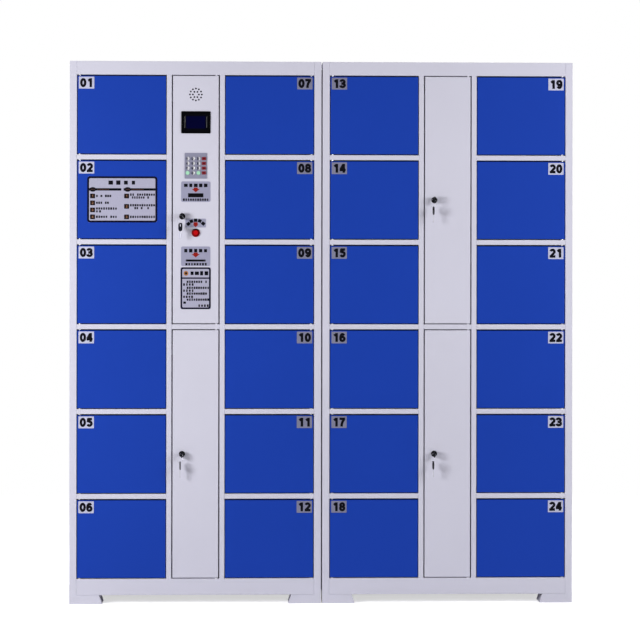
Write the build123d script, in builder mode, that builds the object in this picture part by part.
from build123d import *
import math
import os

# A self-service parcel locker: two sheet-steel cabinets bolted side by side.
# Each cabinet has a column of six blue doors on either side of a narrow service bay.
# Units are millimetres. X is to the right, Y goes into the cabinet, Z is up.
# The origin is on the floor, under the middle of the overall width and depth.

# Cabinets
CABINETS = 2
CABINET_GAP = 4.0
DEPTH = 480.0
SHEET = 1.0
FOOT_HEIGHT = 30.0

# Openings, from the outside of a cabinet towards its middle
OUTER_STILE = 24.0
DOOR_OPENING = 302.0
INNER_STILE = 17.0
BAY_OPENING = 162.0

# Openings, from the foot up
BOTTOM_RAIL = 55.0
OPENING_HEIGHT = 269.0
RAIL = 17.0
TOP_RAIL = 46.0
BAY_DOORS = 2
ROWS_PER_BAY_DOOR = 3

# Folded front frame
FRAME_SHEET = 1.2
FRAME_DEPTH = 25.0
FRAME_BEND = 1.5
STOP_REACH = 8.0
STOP_HEIGHT = 40.0
STOP_FROM_END = 50.0

# Doors
DOOR_SHEET = 1.2
DOOR_THICKNESS = 18.0
DOOR_LIP = 10.0
DOOR_BEND = 1.4
DOOR_SIDE_GAP = 2.5
BAY_SIDE_GAP = 4.0
DOOR_END_GAP = 3.0
SEAT_CLEARANCE = 0.3
STIFFENER_WIDTH = 44.0
STIFFENER_DEPTH = 14.0
STIFFENER_SHEET = 1.0
STIFFENER_END_GAP = 12.0

# Pin hinges: a pin on the door turns in a bush in the rail
PIN_RADIUS = 2.5
PIN_INSET = 7.5
PIN_DEPTH = 5.0
PIN_COLLAR_RADIUS = 3.7
PIN_COLLAR = 2.0
PIN_TAIL = 8.0
PIN_PAST_SHEET = 1.6
PIN_CLEARANCE = 0.08
PIN_CHAMFER = 0.5
BUSH_RADIUS = 3.4
BUSH_FLANGE_RADIUS = 4.6
BUSH_FLANGE = 1.0
BUSH_LENGTH = 2.4

# Electric locks, one behind the free edge of each blue door
LOCK_FROM_EDGE = 9.0
LOCK_WIDTH = 14.0
LOCK_LENGTH = 56.0
LOCK_HEIGHT = 70.0
LOCK_SETBACK = 1.0
LOCK_BRACKET_SHEET = 1.5
LOCK_BRACKET_HEIGHT = 44.0
STRIKER_THICKNESS = 2.5
STRIKER_HEIGHT = 14.0
STRIKER_REACH = 24.0
STRIKER_BASE = 9.0
STRIKER_BASE_HEIGHT = 34.0
STRIKER_BASE_SHEET = 1.5
STRIKER_SIDE_ROOM = 2.5
STRIKER_END_ROOM = 3.0
STRIKER_NOTCH_RADIUS = 2.5
LATCH_THICKNESS = 3.0
LATCH_LENGTH = 18.0
LATCH_HEIGHT = 4.0

# Number plates and the instruction plate
PLATE_SHEET = 0.8
NUMBER_PLATE_WIDTH = 52.0
NUMBER_PLATE_HEIGHT = 40.0
NUMBER_PLATE_CORNER = 1.5
NUMBER_PLATE_SIDE = 4.0
NUMBER_PLATE_TOP = 4.5
INSTRUCTION_WIDTH = 235.8
INSTRUCTION_HEIGHT = 155.5
INSTRUCTION_CORNER = 9.5
INSTRUCTION_FROM_TOP = 134.5
INSTRUCTION_OFFSET = 1.7
INSTRUCTION_DOOR = 2

# Cam locks on the service doors
CAM_LOCK_FROM_EDGE = 35.4
CONTROL_LOCK_FROM_TOP = 477.0
BARREL_RADIUS = 9.4
BARREL_HEAD_RADIUS = 10.35
BARREL_HEAD = 3.0
BARREL_LENGTH = 24.0
BARREL_NUT_RADIUS = 13.0
BARREL_NUT = 4.0
CORE_RADIUS = 6.0
CORE_CLEARANCE = 0.05
CORE_PROUD = 0.4
CAM_LENGTH = 47.0
CAM_WIDTH = 13.0
CAM_SHEET = 2.0
CAM_CLEARANCE = 0.4
CAM_SCREW_RADIUS = 4.0
CAM_SCREW = 3.0

# Keys: a plastic bow moulded on a steel blade
KEY_SHEET = 2.0
KEY_BLADE_WIDTH = 7.0
KEY_BLADE = 27.0
KEY_NECK = 1.6
BOW_WIDTH = 23.0
BOW_LENGTH = 28.0
BOW_CORNER = 9.0
BOW_HOLE_RADIUS = 5.0
BOW_RIM = 3.3
BOW_SHEET = 3.0
RING_RADIUS = 15.0
RING_WIRE_RADIUS = 0.65
RING_DROP = 12.0
RING_SETBACK = 2.0
RING_YAW = 45.0
SPARE_YAW_CONTROL = 57.0
SPARE_YAW_SERVICE = 84.0
SPARE_PLAY = 0.5

# Control door: distances are from the top of its opening
SPEAKER_FROM_TOP = 66.0
SPEAKER_HOLE_RADIUS = 2.4
SPEAKER_OUTER_RING = 20.0
SPEAKER_OUTER_HOLES = 12
SPEAKER_INNER_RING = 10.0
SPEAKER_INNER_HOLES = 6
SPEAKER_RADIUS = 28.5
SPEAKER_DOME_RADIUS = 8.0
SPEAKER_FLANGE = 2.0
SPEAKER_CONE_RADIUS = 17.0
SPEAKER_CONE_DEPTH = 12.0
SPEAKER_MAGNET_RADIUS = 16.0
SPEAKER_MAGNET = 7.0

DISPLAY_FROM_TOP = 160.0
BEZEL_WIDTH = 98.7
BEZEL_HEIGHT = 75.0
BEZEL_CORNER = 3.0
BEZEL_PROUD = 3.0
BEZEL_LIP = 1.2
BEZEL_SLEEVE_WALL = 2.0
BEZEL_SLEEVE_DEPTH = 6.0
SCREEN_WIDTH = 78.0
SCREEN_HEIGHT = 56.0
SCREEN_HOLD = 1.5
SCREEN_GLASS = 2.4
SCREEN_MODULE = 10.0

KEYPAD_FROM_TOP = 306.5
KEYPAD_WIDTH = 75.0
KEYPAD_HEIGHT = 87.0
KEYPAD_CORNER = 2.5
KEYPAD_PLATE = 2.0
KEYPAD_FLANGE = 1.0
KEYPAD_WALL = 1.2
KEYPAD_BOX_DEPTH = 10.0
KEYPAD_BOARD = 1.2
KEY_COLUMNS = 3
KEY_ROWS = 4
KEY_PITCH_X = 18.3
KEY_PITCH_Z = 16.1
BUTTON_RADIUS = 6.5
BUTTON_PROUD = 2.6
BUTTON_DOME = 1.1
BUTTON_CLEARANCE = 0.2
BUTTON_FLANGE_OVER = 0.7
BUTTON_FLANGE = 1.2
BUTTON_STEM_RADIUS = 2.0
BUTTON_STEM = 4.4
FUNCTION_KEY_WIDTH = 14.0
FUNCTION_KEY_HEIGHT = 10.5
FUNCTION_KEY_CORNER = 2.0

READER_FROM_TOP = 393.7
READER_WIDTH = 98.4
READER_HEIGHT = 69.2
READER_CORNER = 5.7
READER_WINDOW_WIDTH = 50.0
READER_WINDOW_HEIGHT = 12.0
READER_WINDOW_DROP = 12.3
READER_BODY_WIDTH = 62.0
READER_BODY_HEIGHT = 34.0
READER_BODY_DEPTH = 30.0

BUTTON_LABEL_RISE = 32.9
BUTTON_LABEL_WIDTH = 69.0
BUTTON_LABEL_HEIGHT = 29.7
BUTTON_LABEL_CORNER = 3.0
RED_BUTTON_FROM_TOP = 532.5
RED_BUTTON_RADIUS = 10.5
RED_BUTTON_PROUD = 4.5
RED_BUTTON_DOME = 1.5
RED_BUTTON_CLEARANCE = 0.3
RED_BUTTON_SKIRT = 4.0
RED_BUTTON_STEM_RADIUS = 4.0
RED_BUTTON_STEM = 6.0
BUTTON_BEZEL_RADIUS = 14.2
BUTTON_BEZEL_PROUD = 4.0
BUTTON_BARREL_WALL = 1.6
BUTTON_BARREL_DEPTH = 17.0
BUTTON_NUT_RADIUS = 16.5
BUTTON_NUT = 4.0
CONTACT_BLOCK = 26.0
CONTACT_BLOCK_DEPTH = 18.0

PRINTER_FROM_TOP = 611.7
PRINTER_WIDTH = 98.4
PRINTER_HEIGHT = 66.0
PRINTER_CORNER = 5.7
SLOT_WIDTH = 64.6
SLOT_HEIGHT = 5.0
SLOT_DROP = 14.3
THROAT_WALL = 1.5
PRINTER_BODY_WIDTH = 84.0
PRINTER_BODY_HEIGHT = 62.0
PRINTER_BODY_DEPTH = 52.0
PAPER_RADIUS = 20.0
PAPER_WIDTH = 58.0

NOTICE_FROM_TOP = 719.5
NOTICE_WIDTH = 101.7
NOTICE_HEIGHT = 141.3
NOTICE_CORNER = 4.0

# Control board, power supply and backup battery, in the bay behind the control door
BOARD_WIDTH = 110.0
BOARD_HEIGHT = 130.0
BOARD_SHEET = 1.6
BOARD_STANDOFF = 11.0
BOARD_STANDOFF_RADIUS = 3.0
BOARD_HOLE_INSET = 6.0
BOARD_ABOVE_SHELF = 470.0
BOARD_EDGE_ROOM = 12.0
TERMINALS_WIDTH = 80.0
TERMINALS_HEIGHT = 9.0
TERMINALS_DEPTH = 12.0
RELAYS = 4
RELAY_WIDTH = 15.0
RELAY_HEIGHT = 19.0
RELAY_DEPTH = 15.5
RELAY_PITCH = 22.0
RELAY_RISE = 22.0
CHIP_SIZE = 24.0
CHIP_DEPTH = 2.0
CHIP_DROP = 18.0
SUPPLY_WIDTH = 110.0
SUPPLY_DEPTH = 52.0
SUPPLY_HEIGHT = 160.0
SUPPLY_ABOVE_SHELF = 140.0
BATTERY_WIDTH = 120.0
BATTERY_DEPTH = 66.0
BATTERY_HEIGHT = 95.0
TERMINAL_SPREAD = 80.0
TERMINAL_RADIUS = 4.0
TERMINAL_HEIGHT = 6.0
GLAND_RADIUS = 11.0
GLAND_GROOVE_RADIUS = 8.0
GLAND_LENGTH = 7.0
GLAND_BORE_RADIUS = 4.0
GLAND_ABOVE_SHELF = 350.0

# Feet
FOOT_TOP_WIDTH = 100.0
FOOT_BOTTOM_WIDTH = 110.0
FOOT_DEPTH = 80.0
FOOT_SHEET = 2.0
FOOT_FROM_BACK = 20.0

# Bolts that join the two cabinets, above the top compartments and below the bottom ones
BOLT_RADIUS = 4.0
BOLT_HOLE_CLEARANCE = 0.5
BOLT_HEAD_RADIUS = 7.4
BOLT_HEAD = 5.3
BOLT_TAIL = 3.0
WASHER_RADIUS = 8.5
BOLT_FROM_FRONT = 90.0
BOLT_FROM_BACK = 90.0

# Worked out from the sizes above
ROWS = BAY_DOORS * ROWS_PER_BAY_DOOR
ROW_PITCH = OPENING_HEIGHT + RAIL
BAY_HEIGHT = ROWS_PER_BAY_DOOR * ROW_PITCH - RAIL
CABINET_WIDTH = 2 * (OUTER_STILE + DOOR_OPENING + INNER_STILE) + BAY_OPENING
OVERALL_WIDTH = CABINETS * CABINET_WIDTH + (CABINETS - 1) * CABINET_GAP
FLOOR_Z = FOOT_HEIGHT + BOTTOM_RAIL
CEILING_Z = FLOOR_Z + ROWS * ROW_PITCH - RAIL
TOP_Z = CEILING_Z + TOP_RAIL
PIN_FROM_EDGE = DOOR_SIDE_GAP + PIN_INSET
BAY_PIN_FROM_EDGE = BAY_SIDE_GAP + PIN_INSET

# The inserted key stands further out than anything else at the front
BOW_FRONT = CORE_PROUD + BARREL_HEAD + KEY_NECK + BOW_LENGTH
BOW_HOLE_FRONT = BOW_FRONT - BOW_RIM - BOW_HOLE_RADIUS
RING_HALF_CROSSING = math.sqrt(RING_RADIUS**2 - RING_DROP**2)
RING_OUT = RING_HALF_CROSSING - RING_SETBACK
RING_TURN = math.radians(RING_YAW)
RING_X = RING_OUT * math.sin(RING_TURN)
RING_FRONT = BOW_HOLE_FRONT + RING_OUT * math.cos(RING_TURN)
SPARE_TURN = math.radians(SPARE_YAW_SERVICE)
SPARE_REACH = (BOW_WIDTH * math.sin(SPARE_TURN) + BOW_SHEET * math.cos(SPARE_TURN)) / 2
RING_REACH = RING_RADIUS * math.cos(RING_TURN) + RING_WIRE_RADIUS
KEY_REACH = RING_FRONT + max(SPARE_REACH, RING_REACH)
FRONT_Y = (KEY_REACH - DEPTH) / 2
BACK_Y = FRONT_Y + DEPTH
FRAME_BACK_Y = FRONT_Y + FRAME_DEPTH

os.makedirs("parts", exist_ok=True)


def cabinet_x(cabinet):
    """Left side of a cabinet."""
    return -OVERALL_WIDTH / 2 + cabinet * (CABINET_WIDTH + CABINET_GAP)


def row_z(row):
    """Bottom of a blue door's opening; row 0 is the top one."""
    return FLOOR_Z + (ROWS - 1 - row) * ROW_PITCH


def bay_z(bay):
    """Bottom of a service door's opening; bay 0 is the upper one."""
    return row_z((bay + 1) * ROWS_PER_BAY_DOOR - 1)


def column_x(cabinet, side):
    """Middle of a cabinet's left (-1) or right (1) column of blue doors."""
    middle = cabinet_x(cabinet) + CABINET_WIDTH / 2
    return middle + side * (BAY_OPENING / 2 + INNER_STILE + DOOR_OPENING / 2)


def bay_x(cabinet):
    """Middle of a cabinet's service bay."""
    return cabinet_x(cabinet) + CABINET_WIDTH / 2


def slab(x, y, z):
    """One flat-sided solid between a low and a high value on each axis."""
    middle = [(low + high) / 2 for low, high in (x, y, z)]
    with BuildPart() as flat:
        with Locations(tuple(middle)):
            Box(x[1] - x[0], y[1] - y[0], z[1] - z[0])
    return flat.part


def cut_slab(x, y, z):
    """Takes a flat-sided block out of the part that is being built."""
    middle = [(low + high) / 2 for low, high in (x, y, z)]
    with Locations(tuple(middle)):
        Box(x[1] - x[0], y[1] - y[0], z[1] - z[0], mode=Mode.SUBTRACT)


def facing(y, x=0.0, z=0.0):
    """A plane that faces the front, drawn as seen from the front, X right and Z up."""
    return Plane(origin=(x, y, z), x_dir=(1, 0, 0), z_dir=(0, -1, 0))


def front_plate(x, z, width, height, corner, thickness, y=0.0):
    """A flat plate with round corners that stands forward from y."""
    with BuildPart() as plate:
        with BuildSketch(facing(y, x, z)):
            RectangleRounded(width, height, corner)
        extrude(amount=thickness)
    return plate.part


def placed(solids, x, y, z):
    """Copies of the solids, moved to their place in the locker."""
    return [solid.moved(Location((x, y, z))) for solid in solids]


def write(name, solids):
    """Writes one named piece, made of one or more separate solids."""
    group = Compound(label=name, children=list(solids))
    export_step(group, f"parts/{name}.step")


# Front frame: folded stiles and rails round every opening
def folded_channel(plane, width, length, closed=False):
    """A folded section, open or closed at the back, run along the plane's normal."""
    with BuildPart() as channel:
        with BuildSketch(plane):
            with BuildLine():
                FilletPolyline(
                    (-width / 2, FRAME_DEPTH),
                    (-width / 2, 0),
                    (width / 2, 0),
                    (width / 2, FRAME_DEPTH),
                    radius=FRAME_BEND,
                )
                Line((width / 2, FRAME_DEPTH), (-width / 2, FRAME_DEPTH))
            make_face()
            hollow_back = FRAME_DEPTH - (FRAME_SHEET if closed else 0)
            with Locations((0, (FRAME_SHEET + hollow_back) / 2)):
                Rectangle(
                    width - 2 * FRAME_SHEET,
                    hollow_back - FRAME_SHEET,
                    mode=Mode.SUBTRACT,
                )
        extrude(amount=length)
    return channel.part


def stile(x, width, z, length, closed=False):
    """An upright of the front frame, centred on x."""
    plane = Plane(origin=(x, FRONT_Y, z), x_dir=(1, 0, 0), z_dir=(0, 0, 1))
    return folded_channel(plane, width, length, closed)


def corner_stile(x):
    """An outer upright from the feet to the top, where a welded cap closes it."""
    half = OUTER_STILE / 2 - FRAME_SHEET
    with BuildPart() as upright:
        add(stile(x, OUTER_STILE, FOOT_HEIGHT, TOP_Z - FOOT_HEIGHT))
        add(
            slab(
                (x - half, x + half),
                (FRONT_Y + FRAME_SHEET, FRAME_BACK_Y),
                (TOP_Z - FRAME_SHEET, TOP_Z),
            )
        )
    return upright.part


def rail(x_low, x_high, z, height, pin_xs, above, below):
    """A crosspiece from x_low to x_high with bush holes for the doors above and below."""
    middle_z = z + height / 2
    plane = Plane(origin=(x_high, FRONT_Y, middle_z), x_dir=(0, 0, 1), z_dir=(-1, 0, 0))
    blank = folded_channel(plane, height, x_high - x_low)
    pin_y = FRONT_Y + PIN_DEPTH
    with BuildPart() as drilled:
        add(blank)
        if above:
            with BuildSketch(Plane.XY.offset(z + height)):
                with Locations([(pin_x, pin_y) for pin_x in pin_xs]):
                    Circle(BUSH_RADIUS)
            extrude(amount=-FRAME_SHEET, mode=Mode.SUBTRACT)
        if below:
            with BuildSketch(Plane.XY.offset(z)):
                with Locations([(pin_x, pin_y) for pin_x in pin_xs]):
                    Circle(BUSH_RADIUS)
            extrude(amount=FRAME_SHEET, mode=Mode.SUBTRACT)
    return drilled.part


def hinge_x(opening_x, opening_width, side, from_edge):
    """The hinge axis of a door that hangs on the left (-1) or right (1) of its opening."""
    return opening_x + side * (opening_width / 2 - from_edge)


def door_stops(opening_x, opening_width, side, z, height):
    """Two tabs on the stile at the free edge, just behind the closed door."""
    edge = opening_x - side * opening_width / 2
    x = sorted((edge, edge + side * STOP_REACH))
    y = (FRONT_Y + DOOR_THICKNESS + SEAT_CLEARANCE, FRAME_BACK_Y)
    low = z + STOP_FROM_END
    high = z + height - STOP_FROM_END
    return [
        slab(x, y, (low, low + STOP_HEIGHT)),
        slab(x, y, (high - STOP_HEIGHT, high)),
    ]


frame_members = []
for cabinet in range(CABINETS):
    left = cabinet_x(cabinet)
    inner_left = left + OUTER_STILE
    inner_right = left + CABINET_WIDTH - OUTER_STILE
    column_pins = [hinge_x(column_x(cabinet, s), DOOR_OPENING, s, PIN_FROM_EDGE) for s in (-1, 1)]
    bay_pin = hinge_x(bay_x(cabinet), BAY_OPENING, 1, BAY_PIN_FROM_EDGE)
    every_pin = [*column_pins, bay_pin]
    frame_members += [
        corner_stile(left + OUTER_STILE / 2),
        corner_stile(left + CABINET_WIDTH - OUTER_STILE / 2),
        rail(inner_left, inner_right, FOOT_HEIGHT, BOTTOM_RAIL, every_pin, True, False),
        rail(inner_left, inner_right, CEILING_Z, TOP_RAIL, every_pin, False, True),
    ]
    for side in (-1, 1):
        stile_x = bay_x(cabinet) + side * (BAY_OPENING + INNER_STILE) / 2
        frame_members.append(stile(stile_x, INNER_STILE, FLOOR_Z, CEILING_Z - FLOOR_Z, True))
        column = column_x(cabinet, side)
        low = column - DOOR_OPENING / 2
        high = column + DOOR_OPENING / 2
        pin = hinge_x(column, DOOR_OPENING, side, PIN_FROM_EDGE)
        for row in range(ROWS - 1):
            frame_members.append(rail(low, high, row_z(row) - RAIL, RAIL, [pin], True, True))
        for row in range(ROWS):
            frame_members += door_stops(column, DOOR_OPENING, side, row_z(row), OPENING_HEIGHT)
    low = bay_x(cabinet) - BAY_OPENING / 2
    high = bay_x(cabinet) + BAY_OPENING / 2
    for bay in range(BAY_DOORS - 1):
        frame_members.append(rail(low, high, bay_z(bay) - RAIL, RAIL, [bay_pin], True, True))
    for bay in range(BAY_DOORS):
        frame_members += door_stops(bay_x(cabinet), BAY_OPENING, 1, bay_z(bay), BAY_HEIGHT)
write("front_frames", frame_members)


# Carcass: flat sheets behind the frame
side_sheets = []
top_sheets = []
bottom_sheets = []
back_sheets = []
partition_sheets = []
shelf_sheets = []
inside_y = (FRAME_BACK_Y, BACK_Y - SHEET)
gland_z = bay_z(0) + GLAND_ABOVE_SHELF
bolt_ys = (FRONT_Y + BOLT_FROM_FRONT, BACK_Y - BOLT_FROM_BACK)
bolt_zs = (FOOT_HEIGHT + BOTTOM_RAIL / 2, CEILING_Z + TOP_RAIL / 2)
bolt_places = [(y, z) for y in bolt_ys for z in bolt_zs]
bolt_hole_radius = BOLT_RADIUS + BOLT_HOLE_CLEARANCE


def side_sheet(x_low, bolted):
    """A side sheet, drilled where the neighbouring cabinet is bolted to it."""
    with BuildPart() as sheet:
        add(slab((x_low, x_low + SHEET), inside_y, (FOOT_HEIGHT, TOP_Z)))
        if bolted:
            with BuildSketch(Plane.YZ.offset(x_low)):
                with Locations(bolt_places):
                    Circle(bolt_hole_radius)
            extrude(amount=SHEET, mode=Mode.SUBTRACT)
    return sheet.part


def back_sheet(left, gland):
    """A back sheet, with a hole for the cable gland in the control cabinet."""
    with BuildPart() as sheet:
        y = (BACK_Y - SHEET, BACK_Y)
        add(slab((left, left + CABINET_WIDTH), y, (FOOT_HEIGHT, TOP_Z)))
        if gland:
            with BuildSketch(facing(BACK_Y, bay_x(0), gland_z)):
                Circle(GLAND_GROOVE_RADIUS)
            extrude(amount=SHEET, mode=Mode.SUBTRACT)
    return sheet.part


for cabinet in range(CABINETS):
    left = cabinet_x(cabinet)
    right = left + CABINET_WIDTH
    between = (left + SHEET, right - SHEET)
    side_sheets += [
        side_sheet(left, cabinet > 0),
        side_sheet(right - SHEET, cabinet < CABINETS - 1),
    ]
    back_sheets.append(back_sheet(left, cabinet == 0))
    top_sheets += [
        slab(between, inside_y, (TOP_Z - SHEET, TOP_Z)),
        slab(between, inside_y, (CEILING_Z, CEILING_Z + SHEET)),
    ]
    bottom_sheets += [
        slab(between, inside_y, (FOOT_HEIGHT, FOOT_HEIGHT + SHEET)),
        slab(between, inside_y, (FLOOR_Z - SHEET, FLOOR_Z)),
    ]
    for side in (-1, 1):
        middle = bay_x(cabinet) + side * (BAY_OPENING + INNER_STILE) / 2
        partition = (middle - SHEET / 2, middle + SHEET / 2)
        partition_sheets.append(slab(partition, inside_y, (FLOOR_Z, CEILING_Z)))
        outer = left + SHEET if side < 0 else right - SHEET
        inner = middle + side * SHEET / 2
        for row in range(ROWS - 1):
            top = row_z(row)
            shelf_sheets.append(slab(sorted((outer, inner)), inside_y, (top - SHEET, top)))
    for bay in range(BAY_DOORS - 1):
        top = bay_z(bay)
        reach = (BAY_OPENING + INNER_STILE - SHEET) / 2
        x = (bay_x(cabinet) - reach, bay_x(cabinet) + reach)
        shelf_sheets.append(slab(x, inside_y, (top - SHEET, top)))
write("side_panels", side_sheets)
write("top_panels", top_sheets)
write("bottom_panels", bottom_sheets)
write("back_panels", back_sheets)
write("partitions", partition_sheets)
write("shelves", shelf_sheets)


# Bushes: a flanged sleeve in the rail above and below each door
def bush(x, z, up):
    """A flanged bush; up is 1 where the sleeve points up into its rail, or -1."""
    with BuildPart() as sleeve:
        with BuildSketch(Plane.XZ):
            bore = PIN_RADIUS + PIN_CLEARANCE
            with BuildLine():
                Polyline(
                    (bore, -BUSH_FLANGE),
                    (BUSH_FLANGE_RADIUS, -BUSH_FLANGE),
                    (BUSH_FLANGE_RADIUS, 0),
                    (BUSH_RADIUS, 0),
                    (BUSH_RADIUS, BUSH_LENGTH),
                    (bore, BUSH_LENGTH),
                    close=True,
                )
            make_face()
        revolve(axis=Axis.Z)
        if up < 0:
            mirror(about=Plane.XY, mode=Mode.REPLACE)
    return sleeve.part.moved(Location((x, FRONT_Y + PIN_DEPTH, z)))


bushes = []
for cabinet in range(CABINETS):
    for side in (-1, 1):
        pin = hinge_x(column_x(cabinet, side), DOOR_OPENING, side, PIN_FROM_EDGE)
        for row in range(ROWS):
            z = row_z(row)
            bushes += [bush(pin, z, -1), bush(pin, z + OPENING_HEIGHT, 1)]
    pin = hinge_x(bay_x(cabinet), BAY_OPENING, 1, BAY_PIN_FROM_EDGE)
    for bay in range(BAY_DOORS):
        z = bay_z(bay)
        bushes += [bush(pin, z, -1), bush(pin, z + BAY_HEIGHT, 1)]
write("hinge_bushes", bushes)


# Feet: pressed boxes, open at the top, under each corner
def foot(inward):
    """A foot whose inner end, on the side given by inward, slopes outwards to the floor."""
    with BuildPart() as pressed:
        with BuildSketch(Plane.XZ.offset(-FOOT_DEPTH)):
            with BuildLine():
                Polyline(
                    (0, FOOT_HEIGHT),
                    (0, 0),
                    (inward * FOOT_BOTTOM_WIDTH, 0),
                    (inward * FOOT_TOP_WIDTH, FOOT_HEIGHT),
                    close=True,
                )
            make_face()
        extrude(amount=FOOT_DEPTH)
        top = pressed.faces().sort_by(Axis.Z)[-1]
        offset(amount=-FOOT_SHEET, openings=top)
    return pressed.part


feet = []
for cabinet in range(CABINETS):
    for side in (-1, 1):
        x = bay_x(cabinet) + side * CABINET_WIDTH / 2
        for y in (FRONT_Y, BACK_Y - FOOT_FROM_BACK - FOOT_DEPTH):
            feet += placed([foot(-side)], x, y, 0)
write("feet", feet)


# Joining bolts, each with a nut and two washers that fill the gap between the cabinets
def joining_bolt(x, y, z):
    """A hexagon bolt along X through both side sheets, as three separate solids."""
    head_x = x - SHEET
    nut_x = x + CABINET_GAP + SHEET
    with BuildPart() as bolt:
        with BuildSketch(Plane(origin=(head_x, y, z), z_dir=(-1, 0, 0))):
            RegularPolygon(BOLT_HEAD_RADIUS, 6)
        extrude(amount=BOLT_HEAD)
        with BuildSketch(Plane(origin=(head_x, y, z), z_dir=(1, 0, 0))):
            Circle(BOLT_RADIUS)
        extrude(amount=nut_x - head_x + BOLT_HEAD + BOLT_TAIL)
    with BuildPart() as nut:
        with BuildSketch(Plane(origin=(nut_x, y, z), z_dir=(1, 0, 0))):
            RegularPolygon(BOLT_HEAD_RADIUS, 6)
            Circle(BOLT_RADIUS, mode=Mode.SUBTRACT)
        extrude(amount=BOLT_HEAD)
    with BuildPart() as washer:
        with BuildSketch(Plane(origin=(x, y, z), z_dir=(1, 0, 0))):
            Circle(WASHER_RADIUS)
            Circle(BOLT_RADIUS, mode=Mode.SUBTRACT)
        extrude(amount=CABINET_GAP)
    return [bolt.part, nut.part, washer.part]


bolts = []
for cabinet in range(CABINETS - 1):
    for y, z in bolt_places:
        bolts += joining_bolt(cabinet_x(cabinet) + CABINET_WIDTH, y, z)
write("joining_bolts", bolts)


# Electric locks, one for each blue door, on a bracket on the partition
def electric_lock(side):
    """Lock body, bracket and drawn-back latch for a door hinged on the given side."""
    free = -side
    edge = free * DOOR_OPENING / 2
    inward = -free
    middle = edge + inward * LOCK_FROM_EDGE
    near = edge + inward * (LOCK_FROM_EDGE - LOCK_WIDTH / 2)
    far = edge + inward * (LOCK_FROM_EDGE + LOCK_WIDTH / 2)
    wall = edge + free * (INNER_STILE - SHEET) / 2
    y_front = FRAME_DEPTH + LOCK_SETBACK
    y = (y_front, y_front + LOCK_LENGTH)
    slot_half_width = STRIKER_THICKNESS / 2 + STRIKER_SIDE_ROOM
    slot_back = DOOR_THICKNESS + STRIKER_REACH + STRIKER_END_ROOM
    slot_half_height = STRIKER_HEIGHT / 2 + LATCH_HEIGHT + 2 * SEAT_CLEARANCE
    slot_z = (-slot_half_height, STRIKER_HEIGHT / 2 + STRIKER_END_ROOM)
    with BuildPart() as body:
        add(slab(sorted((near, far)), y, (-LOCK_HEIGHT / 2, LOCK_HEIGHT / 2)))
        fillet(body.edges().filter_by(Axis.X), FRAME_BEND)
        cut_slab((middle - slot_half_width, middle + slot_half_width), (y_front, slot_back), slot_z)
    with BuildPart() as bracket:
        half = LOCK_BRACKET_HEIGHT / 2
        bracket_y = (y_front + LOCK_SETBACK, y_front + LOCK_LENGTH - LOCK_SETBACK)
        add(slab(sorted((wall, near)), bracket_y, (-half, half)))
        inner = sorted((wall, near + free * LOCK_BRACKET_SHEET))
        cut_slab(inner, bracket_y, (-half + LOCK_BRACKET_SHEET, half - LOCK_BRACKET_SHEET))
    latch_x = (middle - LATCH_THICKNESS / 2, middle + LATCH_THICKNESS / 2)
    latch = slab(
        latch_x,
        (slot_back - LATCH_LENGTH, slot_back),
        (-slot_half_height, -slot_half_height + LATCH_HEIGHT),
    )
    return [body.part, bracket.part, latch]


locks = []
for cabinet in range(CABINETS):
    for side in (-1, 1):
        lock_solids = electric_lock(side)
        for row in range(ROWS):
            z = row_z(row) + OPENING_HEIGHT / 2
            locks += placed(lock_solids, column_x(cabinet, side), FRONT_Y, z)
write("electric_locks", locks)


# Power supply, backup battery, cable gland and control board, in the bay behind the control door
def power_supply():
    """A supply case and a battery against the back wall, and the cable gland through it."""
    x = bay_x(0)
    shelf = bay_z(0)
    back = BACK_Y - SHEET
    with BuildPart() as case:
        x_range = (x - SUPPLY_WIDTH / 2, x + SUPPLY_WIDTH / 2)
        z_range = (shelf + SUPPLY_ABOVE_SHELF, shelf + SUPPLY_ABOVE_SHELF + SUPPLY_HEIGHT)
        add(slab(x_range, (back - SUPPLY_DEPTH, back), z_range))
        fillet(case.edges().filter_by(Axis.Z), DOOR_BEND)
    with BuildPart() as battery:
        x_range = (x - BATTERY_WIDTH / 2, x + BATTERY_WIDTH / 2)
        add(slab(x_range, (back - BATTERY_DEPTH, back), (shelf, shelf + BATTERY_HEIGHT)))
        fillet(battery.edges().filter_by(Axis.Z), DOOR_BEND)
        top = Plane(origin=(x, back - BATTERY_DEPTH / 2, shelf + BATTERY_HEIGHT))
        with BuildSketch(top):
            with Locations((-TERMINAL_SPREAD / 2, 0), (TERMINAL_SPREAD / 2, 0)):
                Circle(TERMINAL_RADIUS)
        extrude(amount=TERMINAL_HEIGHT)
    with BuildPart() as gland:
        with BuildSketch(facing(BACK_Y, x, gland_z)):
            Circle(GLAND_GROOVE_RADIUS)
        extrude(amount=SHEET)
        with BuildSketch(facing(back, x, gland_z)):
            Circle(GLAND_RADIUS)
        extrude(amount=GLAND_LENGTH)
        fillet(gland.edges().group_by(Axis.Y)[0], DOOR_SHEET)
        with BuildSketch(facing(BACK_Y, x, gland_z)):
            Circle(GLAND_BORE_RADIUS)
        extrude(amount=SHEET + GLAND_LENGTH, mode=Mode.SUBTRACT)
    return [case.part, battery.part, gland.part]


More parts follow.
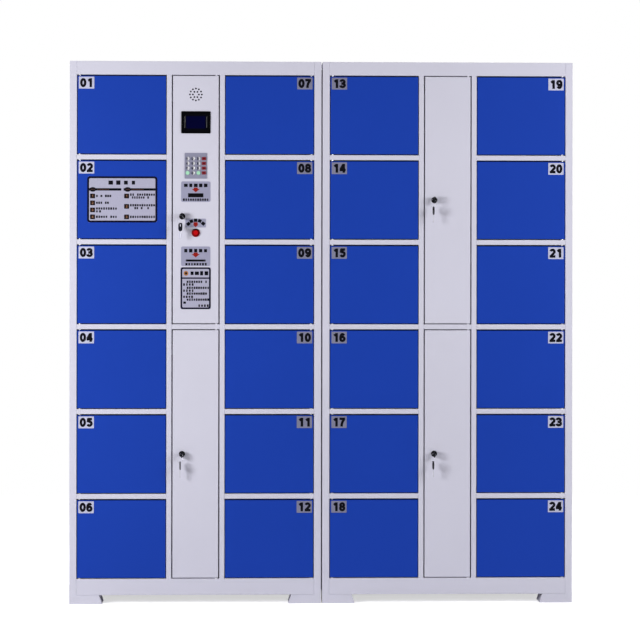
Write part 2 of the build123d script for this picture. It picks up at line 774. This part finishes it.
def control_board():
    """The circuit board, drawn round its middle with y from the wall behind its standoffs."""
    x_inset = BOARD_WIDTH / 2 - BOARD_HOLE_INSET
    z_inset = BOARD_HEIGHT / 2 - BOARD_HOLE_INSET
    standoffs = []
    for x in (-x_inset, x_inset):
        for z in (-z_inset, z_inset):
            with BuildPart() as standoff:
                with BuildSketch(facing(0, x, z)):
                    Circle(BOARD_STANDOFF_RADIUS)
                extrude(amount=BOARD_STANDOFF)
            standoffs.append(standoff.part)
    front = -BOARD_STANDOFF - BOARD_SHEET
    x = (-BOARD_WIDTH / 2, BOARD_WIDTH / 2)
    z = (-BOARD_HEIGHT / 2, BOARD_HEIGHT / 2)
    board = slab(x, (front, -BOARD_STANDOFF), z)
    terminals_z = BOARD_HEIGHT / 2 - BOARD_EDGE_ROOM - TERMINALS_HEIGHT / 2
    x = (-TERMINALS_WIDTH / 2, TERMINALS_WIDTH / 2)
    y = (front - TERMINALS_DEPTH, front)
    components = [
        slab(x, y, (z - TERMINALS_HEIGHT / 2, z + TERMINALS_HEIGHT / 2))
        for z in (-terminals_z, terminals_z)
    ]
    z = (RELAY_RISE - RELAY_HEIGHT / 2, RELAY_RISE + RELAY_HEIGHT / 2)
    for column in range(RELAYS):
        x = (column - (RELAYS - 1) / 2) * RELAY_PITCH
        relay_x = (x - RELAY_WIDTH / 2, x + RELAY_WIDTH / 2)
        components.append(slab(relay_x, (front - RELAY_DEPTH, front), z))
    z = (-CHIP_DROP - CHIP_SIZE / 2, -CHIP_DROP + CHIP_SIZE / 2)
    components.append(slab((-CHIP_SIZE / 2, CHIP_SIZE / 2), (front - CHIP_DEPTH, front), z))
    return [board, *standoffs, *components]


board_at = (bay_x(0), BACK_Y - SHEET, bay_z(0) + BOARD_ABOVE_SHELF)
write("power_supply", power_supply())
write("control_board", placed(control_board(), *board_at))


# Doors, drawn round the middle of the bottom of their opening, with y from the front
def door_pan(opening_width, opening_height, side_gap, side, windows=(), holes=()):
    """A folded door pan; windows are (x, z, width, height), holes are (x, z, radius)."""
    half = opening_width / 2 - side_gap
    z = (DOOR_END_GAP, opening_height - DOOR_END_GAP)
    pin = side * (half - PIN_INSET)
    inner = half - DOOR_SHEET
    inner_z = (z[0] + DOOR_SHEET, z[1] - DOOR_SHEET)
    mouth = inner - DOOR_LIP
    mouth_z = (inner_z[0] + DOOR_LIP, inner_z[1] - DOOR_LIP)
    with BuildPart() as pan:
        add(slab((-half, half), (0, DOOR_THICKNESS), z))
        fillet(pan.edges().filter_by(Axis.Y), DOOR_BEND)
        fillet(pan.faces().sort_by(Axis.Y)[0].edges(), DOOR_BEND)
        cut_slab((-inner, inner), (DOOR_SHEET, DOOR_THICKNESS - DOOR_SHEET), inner_z)
        cut_slab((-mouth, mouth), (DOOR_SHEET, DOOR_THICKNESS), mouth_z)
        with BuildSketch(Plane.XY):
            with Locations((pin, PIN_DEPTH)):
                Circle(PIN_RADIUS)
        extrude(amount=opening_height, mode=Mode.SUBTRACT)
        for window_x, window_z, width, height in windows:
            with BuildSketch(facing(0, window_x, window_z)):
                Rectangle(width, height)
            extrude(amount=-DOOR_SHEET, mode=Mode.SUBTRACT)
        for hole_x, hole_z, radius in holes:
            with BuildSketch(facing(0, hole_x, hole_z)):
                Circle(radius)
            extrude(amount=-DOOR_SHEET, mode=Mode.SUBTRACT)
    return pan.part


def hinge_pins(opening_width, opening_height, side_gap, side):
    """The pins at the door's top and bottom, each with a collar inside the pan."""
    pin_x = side * (opening_width / 2 - side_gap - PIN_INSET)
    reach = DOOR_END_GAP + FRAME_SHEET + PIN_PAST_SHEET
    with BuildPart() as pin:
        with BuildSketch(Plane.XY.offset(-PIN_TAIL - DOOR_SHEET)):
            Circle(PIN_RADIUS)
        extrude(amount=PIN_TAIL + DOOR_SHEET + reach)
        chamfer(pin.edges().group_by(Axis.Z)[-1], PIN_CHAMFER)
        with BuildSketch(Plane.XY.offset(-PIN_COLLAR - DOOR_SHEET)):
            Circle(PIN_COLLAR_RADIUS)
        extrude(amount=PIN_COLLAR)
    upper = pin.part.moved(Location((pin_x, PIN_DEPTH, opening_height - DOOR_END_GAP)))
    lower = pin.part.mirror(Plane.XY).moved(Location((pin_x, PIN_DEPTH, DOOR_END_GAP)))
    return [upper, lower]


def stiffener(opening_height):
    """A folded stiffening channel down the middle of the door's inner face."""
    z = (
        DOOR_END_GAP + DOOR_SHEET + STIFFENER_END_GAP,
        opening_height - DOOR_END_GAP - DOOR_SHEET - STIFFENER_END_GAP,
    )
    half = STIFFENER_WIDTH / 2
    inner = half - STIFFENER_SHEET
    back = DOOR_SHEET + STIFFENER_DEPTH
    with BuildPart() as channel:
        add(slab((-half, half), (DOOR_SHEET, back), z))
        fillet(channel.faces().sort_by(Axis.Y)[-1].edges().filter_by(Axis.Z), DOOR_BEND)
        cut_slab((-inner, inner), (DOOR_SHEET, back - STIFFENER_SHEET), z)
    return channel.part


def striker(side):
    """The plate on the back of a blue door that its electric lock catches."""
    x = side * (LOCK_FROM_EDGE - DOOR_OPENING / 2)
    z = OPENING_HEIGHT / 2
    base_z = (z - STRIKER_BASE_HEIGHT / 2, z + STRIKER_BASE_HEIGHT / 2)
    base_y = (DOOR_THICKNESS, DOOR_THICKNESS + STRIKER_BASE_SHEET)
    half = STRIKER_THICKNESS / 2
    reach_y = (DOOR_THICKNESS, DOOR_THICKNESS + STRIKER_REACH)
    with BuildPart() as plate:
        add(slab((x - STRIKER_BASE / 2, x + STRIKER_BASE / 2), base_y, base_z))
        add(slab((x - half, x + half), reach_y, (z - STRIKER_HEIGHT / 2, z + STRIKER_HEIGHT / 2)))
        notch_y = DOOR_THICKNESS + STRIKER_REACH - STRIKER_HEIGHT / 2
        with BuildSketch(Plane.YZ.offset(x - half)):
            with Locations((notch_y, z)):
                Circle(STRIKER_NOTCH_RADIUS)
        extrude(amount=STRIKER_THICKNESS, mode=Mode.SUBTRACT)
    return plate.part


def number_plate(side):
    """The plate that carries a door's number, in its top corner at the hinge."""
    edge = DOOR_OPENING / 2 - DOOR_SIDE_GAP - NUMBER_PLATE_SIDE
    x = side * (edge - NUMBER_PLATE_WIDTH / 2)
    top = OPENING_HEIGHT - DOOR_END_GAP - NUMBER_PLATE_TOP
    z = top - NUMBER_PLATE_HEIGHT / 2
    size = (NUMBER_PLATE_WIDTH, NUMBER_PLATE_HEIGHT, NUMBER_PLATE_CORNER, PLATE_SHEET)
    return front_plate(x, z, *size)


blue_doors = {
    side: [
        door_pan(DOOR_OPENING, OPENING_HEIGHT, DOOR_SIDE_GAP, side),
        *hinge_pins(DOOR_OPENING, OPENING_HEIGHT, DOOR_SIDE_GAP, side),
        stiffener(OPENING_HEIGHT),
        striker(side),
        number_plate(side),
    ]
    for side in (-1, 1)
}
instruction_plate = front_plate(
    INSTRUCTION_OFFSET,
    OPENING_HEIGHT - INSTRUCTION_FROM_TOP,
    INSTRUCTION_WIDTH,
    INSTRUCTION_HEIGHT,
    INSTRUCTION_CORNER,
    PLATE_SHEET,
)

number = 0
for cabinet in range(CABINETS):
    for side in (-1, 1):
        for row in range(ROWS):
            number += 1
            solids = list(blue_doors[side])
            if number == INSTRUCTION_DOOR:
                solids.append(instruction_plate)
            x = column_x(cabinet, side)
            write(f"door_{number:02d}", placed(solids, x, FRONT_Y, row_z(row)))


# Service doors: hinged on the right, with a cam lock near the left edge
lock_x = CAM_LOCK_FROM_EDGE - BAY_OPENING / 2
service_lock_z = BAY_HEIGHT / 2
control_lock_z = BAY_HEIGHT - CONTROL_LOCK_FROM_TOP


def lock_barrel(z):
    """The fixed barrel of a cam lock and the nut that clamps it to the door."""
    bore = CORE_RADIUS + CORE_CLEARANCE
    with BuildPart() as barrel:
        with BuildSketch(facing(BARREL_LENGTH, lock_x, z)):
            Circle(BARREL_RADIUS)
            Circle(bore, mode=Mode.SUBTRACT)
        extrude(amount=BARREL_LENGTH)
        with BuildSketch(facing(0, lock_x, z)):
            Circle(BARREL_HEAD_RADIUS)
            Circle(bore, mode=Mode.SUBTRACT)
        extrude(amount=BARREL_HEAD)
        rim = barrel.edges().group_by(Axis.Y)[0].sort_by(SortBy.RADIUS)[-1]
        fillet(rim, BARREL_HEAD / 2)
    with BuildPart() as nut:
        with BuildSketch(facing(DOOR_SHEET + BARREL_NUT, lock_x, z)):
            RegularPolygon(BARREL_NUT_RADIUS, 6)
            Circle(BARREL_RADIUS, mode=Mode.SUBTRACT)
        extrude(amount=BARREL_NUT)
    return [barrel.part, nut.part]


def key_solid(flat):
    """A key on a plane, blade down, with the far edge of its bow at the plane's origin."""
    blade_top = -BOW_LENGTH / 2
    blade_tip = -BOW_LENGTH - KEY_BLADE
    with BuildPart() as key:
        with BuildSketch(flat.offset(-BOW_SHEET / 2)):
            with Locations((0, -BOW_LENGTH / 2)):
                RectangleRounded(BOW_WIDTH, BOW_LENGTH, BOW_CORNER)
            with Locations((0, -BOW_RIM - BOW_HOLE_RADIUS)):
                Circle(BOW_HOLE_RADIUS, mode=Mode.SUBTRACT)
        extrude(amount=BOW_SHEET)
        with BuildSketch(flat.offset(-KEY_SHEET / 2)):
            with Locations((0, (blade_top + blade_tip) / 2)):
                Rectangle(KEY_BLADE_WIDTH, blade_top - blade_tip)
        extrude(amount=KEY_SHEET)
    return key.part


def lock_core(z):
    """The turning core with its keyway, the key in it, and the cam behind the door."""
    face = -BARREL_HEAD - CORE_PROUD
    back = FRAME_DEPTH + CAM_CLEARANCE
    with BuildPart() as core:
        with BuildSketch(facing(back, lock_x, z)):
            Circle(CORE_RADIUS)
        extrude(amount=back - face)
        keyway_x = (lock_x - KEY_SHEET / 2, lock_x + KEY_SHEET / 2)
        keyway_z = (z - KEY_BLADE_WIDTH / 2, z + KEY_BLADE_WIDTH / 2)
        cut_slab(keyway_x, (face, face + KEY_BLADE - KEY_NECK), keyway_z)
    upright = Plane(origin=(lock_x, -BOW_FRONT, z), x_dir=(0, 0, 1), z_dir=(1, 0, 0))
    key = key_solid(upright)
    with BuildPart() as cam:
        with BuildSketch(facing(back + CAM_SHEET, lock_x, z)):
            with Locations((0, -(CAM_LENGTH - CAM_WIDTH) / 2)):
                SlotOverall(CAM_LENGTH, CAM_WIDTH, rotation=90)
        extrude(amount=CAM_SHEET)
        with BuildSketch(facing(back + CAM_SHEET + CAM_SCREW, lock_x, z)):
            RegularPolygon(CAM_SCREW_RADIUS, 6)
        extrude(amount=CAM_SCREW)
    return [core.part, key, cam.part]


def spare_keys(z, yaw):
    """A ring through the inserted key's bow, and the spare key that hangs from it."""
    with BuildPart() as ring:
        with BuildSketch(Plane.XY):
            with Locations((RING_RADIUS, 0)):
                Circle(RING_WIRE_RADIUS)
        revolve(axis=Axis.Y)
    ring_z = z - RING_DROP
    hole_z = ring_z - RING_RADIUS + RING_WIRE_RADIUS + SPARE_PLAY - BOW_HOLE_RADIUS
    key_z = hole_z + BOW_HOLE_RADIUS + BOW_RIM
    x = lock_x - RING_X
    return [
        ring.part.moved(Location((x, -RING_FRONT, ring_z), (0, 0, 90 - RING_YAW))),
        key_solid(facing(0)).moved(Location((x, -RING_FRONT, key_z), (0, 0, -yaw))),
    ]


def bay_door(lock_z, windows=(), holes=()):
    """The solids of a service door with its lock barrel."""
    lock_hole = (lock_x, lock_z, BARREL_RADIUS)
    pan_size = (BAY_OPENING, BAY_HEIGHT, BAY_SIDE_GAP, 1)
    return [
        door_pan(*pan_size, windows, (lock_hole, *holes)),
        *hinge_pins(*pan_size),
        *lock_barrel(lock_z),
    ]


SERVICE_DOORS = {
    "lower_left": (0, 1),
    "upper_right": (1, 0),
    "lower_right": (1, 1),
}
for place, (cabinet, bay) in SERVICE_DOORS.items():
    at = (bay_x(cabinet), FRONT_Y, bay_z(bay))
    write(f"service_door_{place}", placed(bay_door(service_lock_z), *at))
    write(f"lock_core_{place}", placed(lock_core(service_lock_z), *at))
    write(f"spare_keys_{place}", placed(spare_keys(service_lock_z, SPARE_YAW_SERVICE), *at))


# Control door: the upper door of the left bay, which carries the controls
control_at = (bay_x(0), FRONT_Y, bay_z(0))
speaker_z = BAY_HEIGHT - SPEAKER_FROM_TOP
display_z = BAY_HEIGHT - DISPLAY_FROM_TOP
keypad_z = BAY_HEIGHT - KEYPAD_FROM_TOP
reader_z = BAY_HEIGHT - READER_FROM_TOP
window_z = reader_z - READER_WINDOW_DROP
red_button_z = BAY_HEIGHT - RED_BUTTON_FROM_TOP
label_z = red_button_z + BUTTON_LABEL_RISE
printer_z = BAY_HEIGHT - PRINTER_FROM_TOP
slot_z = printer_z - SLOT_DROP
notice_z = BAY_HEIGHT - NOTICE_FROM_TOP

sleeve_width = SCREEN_WIDTH + 2 * BEZEL_SLEEVE_WALL
sleeve_height = SCREEN_HEIGHT + 2 * BEZEL_SLEEVE_WALL
keypad_box_width = KEYPAD_WIDTH - 2 * KEYPAD_FLANGE
keypad_box_height = KEYPAD_HEIGHT - 2 * KEYPAD_FLANGE
throat_width = SLOT_WIDTH + 2 * THROAT_WALL
throat_height = SLOT_HEIGHT + 2 * THROAT_WALL
barrel_inner = RED_BUTTON_RADIUS + RED_BUTTON_CLEARANCE
barrel_outer = barrel_inner + BUTTON_BARREL_WALL
around = 2 * SEAT_CLEARANCE

control_solids = bay_door(
    control_lock_z,
    windows=(
        (0, display_z, sleeve_width + around, sleeve_height + around),
        (0, keypad_z, keypad_box_width + around, keypad_box_height + around),
        (0, window_z, READER_WINDOW_WIDTH, READER_WINDOW_HEIGHT),
        (0, slot_z, throat_width, throat_height),
    ),
    holes=((0, red_button_z, barrel_outer),),
)
with BuildPart() as control_pan:
    add(control_solids[0])
    with BuildSketch(facing(0, 0, speaker_z)):
        with PolarLocations(SPEAKER_OUTER_RING, SPEAKER_OUTER_HOLES):
            Circle(SPEAKER_HOLE_RADIUS)
        with PolarLocations(SPEAKER_INNER_RING, SPEAKER_INNER_HOLES):
            Circle(SPEAKER_HOLE_RADIUS)
    extrude(amount=-DOOR_SHEET, mode=Mode.SUBTRACT)
control_solids[0] = control_pan.part
write("control_door", placed(control_solids, *control_at))
write("lock_core_control", placed(lock_core(control_lock_z), *control_at))
write("spare_keys_control", placed(spare_keys(control_lock_z, SPARE_YAW_CONTROL), *control_at))


def speaker():
    """A round loudspeaker with a hollow cone, clamped behind the holes in the door."""
    front = DOOR_SHEET
    flange = front + SPEAKER_FLANGE
    cone_back = flange + SPEAKER_CONE_DEPTH
    rim = SPEAKER_RADIUS - SPEAKER_FLANGE
    with BuildPart() as unit:
        with BuildSketch(Plane.XY):
            with BuildLine():
                Polyline(
                    (0, cone_back - SPEAKER_CONE_DEPTH / 2),
                    (SPEAKER_DOME_RADIUS, cone_back - SPEAKER_CONE_DEPTH / 2),
                    (rim - SPEAKER_FLANGE, front),
                    (SPEAKER_RADIUS, front),
                    (SPEAKER_RADIUS, flange),
                    (rim, flange),
                    (SPEAKER_CONE_RADIUS, cone_back),
                    (SPEAKER_MAGNET_RADIUS, cone_back),
                    (SPEAKER_MAGNET_RADIUS, cone_back + SPEAKER_MAGNET),
                    (0, cone_back + SPEAKER_MAGNET),
                    close=True,
                )
            make_face()
        revolve(axis=Axis.Y)
    return [unit.part.moved(Location((0, 0, speaker_z)))]


def display_bezel():
    """A frame with a lip that holds the screen's glass, and a sleeve through the door."""
    with BuildPart() as bezel:
        with BuildSketch(facing(0, 0, display_z)):
            RectangleRounded(BEZEL_WIDTH, BEZEL_HEIGHT, BEZEL_CORNER)
        extrude(amount=BEZEL_PROUD)
        fillet(bezel.faces().sort_by(Axis.Y)[0].edges(), BEZEL_LIP)
        with BuildSketch(facing(0, 0, display_z)):
            Rectangle(sleeve_width, sleeve_height)
        extrude(amount=-BEZEL_SLEEVE_DEPTH)
        with BuildSketch(facing(BEZEL_SLEEVE_DEPTH, 0, display_z)):
            Rectangle(SCREEN_WIDTH, SCREEN_HEIGHT)
        extrude(amount=BEZEL_SLEEVE_DEPTH + BEZEL_PROUD - BEZEL_LIP, mode=Mode.SUBTRACT)
        with BuildSketch(facing(0, 0, display_z)):
            Rectangle(SCREEN_WIDTH - 2 * SCREEN_HOLD, SCREEN_HEIGHT - 2 * SCREEN_HOLD)
        extrude(amount=BEZEL_PROUD, mode=Mode.SUBTRACT)
    return [bezel.part]


def display_screen():
    """The glass behind the bezel's lip, and the display module behind the glass."""
    glass_front = BEZEL_LIP - BEZEL_PROUD
    glass_back = glass_front + SCREEN_GLASS
    x = (-SCREEN_WIDTH / 2, SCREEN_WIDTH / 2)
    z = (display_z - SCREEN_HEIGHT / 2, display_z + SCREEN_HEIGHT / 2)
    return [
        slab(x, (glass_front, glass_back), z),
        slab(x, (glass_back, glass_back + SCREEN_MODULE), z),
    ]


def key_grid(first_column, columns):
    """Places of the keys in the sketch of the keypad, column 0 at the left."""
    all_columns = KEY_COLUMNS + 1
    return [
        (
            (column - (all_columns - 1) / 2) * KEY_PITCH_X,
            ((KEY_ROWS - 1) / 2 - row) * KEY_PITCH_Z,
        )
        for column in range(first_column, first_column + columns)
        for row in range(KEY_ROWS)
    ]


number_key_places = key_grid(0, KEY_COLUMNS)
function_key_places = key_grid(KEY_COLUMNS, 1)


def keypad_housing():
    """The keypad's face plate and its box, with the switch board at the bottom of the box."""
    corner = FUNCTION_KEY_CORNER + BUTTON_CLEARANCE
    key_room = 2 * BUTTON_CLEARANCE
    with BuildPart() as housing:
        with BuildSketch(facing(0, 0, keypad_z)):
            RectangleRounded(KEYPAD_WIDTH, KEYPAD_HEIGHT, KEYPAD_CORNER)
            with Locations(number_key_places):
                Circle(BUTTON_RADIUS + BUTTON_CLEARANCE, mode=Mode.SUBTRACT)
            with Locations(function_key_places):
                RectangleRounded(
                    FUNCTION_KEY_WIDTH + key_room,
                    FUNCTION_KEY_HEIGHT + key_room,
                    corner,
                    mode=Mode.SUBTRACT,
                )
        extrude(amount=KEYPAD_PLATE)
        with BuildSketch(facing(0, 0, keypad_z)):
            Rectangle(keypad_box_width, keypad_box_height)
            Rectangle(
                keypad_box_width - 2 * KEYPAD_WALL,
                keypad_box_height - 2 * KEYPAD_WALL,
                mode=Mode.SUBTRACT,
            )
        extrude(amount=-KEYPAD_BOX_DEPTH)
        with BuildSketch(facing(KEYPAD_BOX_DEPTH, 0, keypad_z)):
            Rectangle(keypad_box_width, keypad_box_height)
        extrude(amount=KEYPAD_WALL)
    half_width = keypad_box_width / 2 - KEYPAD_WALL
    half_height = keypad_box_height / 2 - KEYPAD_WALL
    board_back = KEYPAD_BOX_DEPTH - KEYPAD_WALL
    board = slab(
        (-half_width, half_width),
        (board_back - KEYPAD_BOARD, board_back),
        (keypad_z - half_height, keypad_z + half_height),
    )
    return [housing.part, board]


def number_keys():
    """Round metal keys, each with a flange behind the plate and a stem to its switch."""
    flange_front = BUTTON_CLEARANCE
    flange_back = flange_front + BUTTON_FLANGE
    with BuildPart() as key:
        with BuildSketch(facing(flange_front)):
            Circle(BUTTON_RADIUS)
        extrude(amount=flange_front + KEYPAD_PLATE + BUTTON_PROUD)
        fillet(key.edges().group_by(Axis.Y)[0], BUTTON_DOME)
        with BuildSketch(facing(flange_back)):
            Circle(BUTTON_RADIUS + BUTTON_FLANGE_OVER)
        extrude(amount=BUTTON_FLANGE)
        with BuildSketch(facing(flange_back + BUTTON_STEM)):
            Circle(BUTTON_STEM_RADIUS)
        extrude(amount=BUTTON_STEM)
    return [key.part.moved(Location((x, 0, keypad_z + z))) for x, z in number_key_places]


def function_keys():
    """The column of rounded rectangular keys at the right of the keypad."""
    flange_front = BUTTON_CLEARANCE
    flange_back = flange_front + BUTTON_FLANGE
    over = 2 * BUTTON_FLANGE_OVER
    with BuildPart() as key:
        with BuildSketch(facing(flange_front)):
            RectangleRounded(FUNCTION_KEY_WIDTH, FUNCTION_KEY_HEIGHT, FUNCTION_KEY_CORNER)
        extrude(amount=flange_front + KEYPAD_PLATE + BUTTON_PROUD)
        fillet(key.faces().sort_by(Axis.Y)[0].edges(), BUTTON_DOME)
        with BuildSketch(facing(flange_back)):
            Rectangle(FUNCTION_KEY_WIDTH + over, FUNCTION_KEY_HEIGHT + over)
        extrude(amount=BUTTON_FLANGE)
        with BuildSketch(facing(flange_back + BUTTON_STEM)):
            Circle(BUTTON_STEM_RADIUS)
        extrude(amount=BUTTON_STEM)
    return [key.part.moved(Location((x, 0, keypad_z + z))) for x, z in function_key_places]


def code_reader():
    """The reader's window in the door and its body behind it."""
    half_width = READER_WINDOW_WIDTH / 2
    half_height = READER_WINDOW_HEIGHT / 2
    window = slab(
        (-half_width, half_width),
        (-PLATE_SHEET, DOOR_SHEET),
        (window_z - half_height, window_z + half_height),
    )
    with BuildPart() as body:
        with BuildSketch(facing(DOOR_SHEET, 0, window_z)):
            RectangleRounded(READER_BODY_WIDTH, READER_BODY_HEIGHT, DOOR_BEND)
        extrude(amount=-READER_BODY_DEPTH)
    return [window, body.part]


def red_button():
    """The large push button that opens a door when a code has been read."""
    with BuildPart() as button:
        with BuildSketch(facing(RED_BUTTON_SKIRT, 0, red_button_z)):
            Circle(RED_BUTTON_RADIUS)
        extrude(amount=RED_BUTTON_SKIRT + BUTTON_BEZEL_PROUD + RED_BUTTON_PROUD)
        fillet(button.edges().group_by(Axis.Y)[0], RED_BUTTON_DOME)
        with BuildSketch(facing(RED_BUTTON_SKIRT + RED_BUTTON_STEM, 0, red_button_z)):
            Circle(RED_BUTTON_STEM_RADIUS)
        extrude(amount=RED_BUTTON_STEM)
    return [button.part]


def button_bezel():
    """The push button's collar and barrel, its nut, and the contact block at its back."""
    with BuildPart() as collar:
        with BuildSketch(facing(0, 0, red_button_z)):
            Circle(BUTTON_BEZEL_RADIUS)
        extrude(amount=BUTTON_BEZEL_PROUD)
        fillet(collar.edges().group_by(Axis.Y)[0], DOOR_SHEET)
        with BuildSketch(facing(0, 0, red_button_z)):
            Circle(barrel_outer)
        extrude(amount=-BUTTON_BARREL_DEPTH)
        with BuildSketch(facing(BUTTON_BARREL_DEPTH, 0, red_button_z)):
            Circle(barrel_inner)
        extrude(amount=BUTTON_BARREL_DEPTH + BUTTON_BEZEL_PROUD, mode=Mode.SUBTRACT)
    with BuildPart() as nut:
        with BuildSketch(facing(DOOR_SHEET, 0, red_button_z)):
            RegularPolygon(BUTTON_NUT_RADIUS, 6)
            Circle(barrel_outer, mode=Mode.SUBTRACT)
        extrude(amount=-BUTTON_NUT)
    with BuildPart() as block:
        with BuildSketch(facing(BUTTON_BARREL_DEPTH, 0, red_button_z)):
            RectangleRounded(CONTACT_BLOCK, CONTACT_BLOCK, DOOR_BEND)
        extrude(amount=-CONTACT_BLOCK_DEPTH)
    return [collar.part, nut.part, block.part]


def receipt_printer():
    """The printer's throat and body behind the slot, with a roll of paper in its bay."""
    roll_y = DOOR_SHEET + PRINTER_BODY_DEPTH / 2
    paper_bay_z = slot_z + PAPER_RADIUS
    with BuildPart() as body:
        with BuildSketch(facing(DOOR_SHEET, 0, printer_z)):
            RectangleRounded(PRINTER_BODY_WIDTH, PRINTER_BODY_HEIGHT, DOOR_BEND)
        extrude(amount=-PRINTER_BODY_DEPTH)
        with BuildSketch(facing(DOOR_SHEET, 0, slot_z)):
            Rectangle(throat_width, throat_height)
        extrude(amount=DOOR_SHEET)
        with BuildSketch(facing(0, 0, slot_z)):
            Rectangle(SLOT_WIDTH, SLOT_HEIGHT)
        extrude(amount=-roll_y, mode=Mode.SUBTRACT)
        with BuildSketch(Plane.YZ.offset(-SLOT_WIDTH / 2)):
            with Locations((roll_y, paper_bay_z)):
                Circle(PAPER_RADIUS + SEAT_CLEARANCE)
        extrude(amount=SLOT_WIDTH, mode=Mode.SUBTRACT)
    with BuildPart() as roll:
        with BuildSketch(Plane.YZ.offset(-PAPER_WIDTH / 2)):
            with Locations((roll_y, paper_bay_z - SEAT_CLEARANCE)):
                Circle(PAPER_RADIUS)
        extrude(amount=PAPER_WIDTH)
    return [body.part, roll.part]


def panel_plates():
    """Thin plates on the door's face: reader, button label, printer and notice."""
    reader = front_plate(0, reader_z, READER_WIDTH, READER_HEIGHT, READER_CORNER, PLATE_SHEET)
    printer = front_plate(0, printer_z, PRINTER_WIDTH, PRINTER_HEIGHT, PRINTER_CORNER, PLATE_SHEET)
    with BuildPart() as reader_plate:
        add(reader)
        with BuildSketch(facing(0, 0, window_z)):
            Rectangle(READER_WINDOW_WIDTH, READER_WINDOW_HEIGHT)
        extrude(amount=PLATE_SHEET, mode=Mode.SUBTRACT)
    with BuildPart() as printer_plate:
        add(printer)
        with BuildSketch(facing(0, 0, slot_z)):
            Rectangle(SLOT_WIDTH, SLOT_HEIGHT)
        extrude(amount=PLATE_SHEET, mode=Mode.SUBTRACT)
    label_size = (BUTTON_LABEL_WIDTH, BUTTON_LABEL_HEIGHT, BUTTON_LABEL_CORNER, PLATE_SHEET)
    notice_size = (NOTICE_WIDTH, NOTICE_HEIGHT, NOTICE_CORNER, PLATE_SHEET)
    return [
        reader_plate.part,
        printer_plate.part,
        front_plate(0, label_z, *label_size),
        front_plate(0, notice_z, *notice_size),
    ]


for name, solids in {
    "speaker": speaker(),
    "display_bezel": display_bezel(),
    "display_screen": display_screen(),
    "keypad_housing": keypad_housing(),
    "number_keys": number_keys(),
    "function_keys": function_keys(),
    "code_reader": code_reader(),
    "red_button": red_button(),
    "button_bezel": button_bezel(),
    "receipt_printer": receipt_printer(),
    "panel_plates": panel_plates(),
}.items():
    write(name, placed(solids, *control_at))
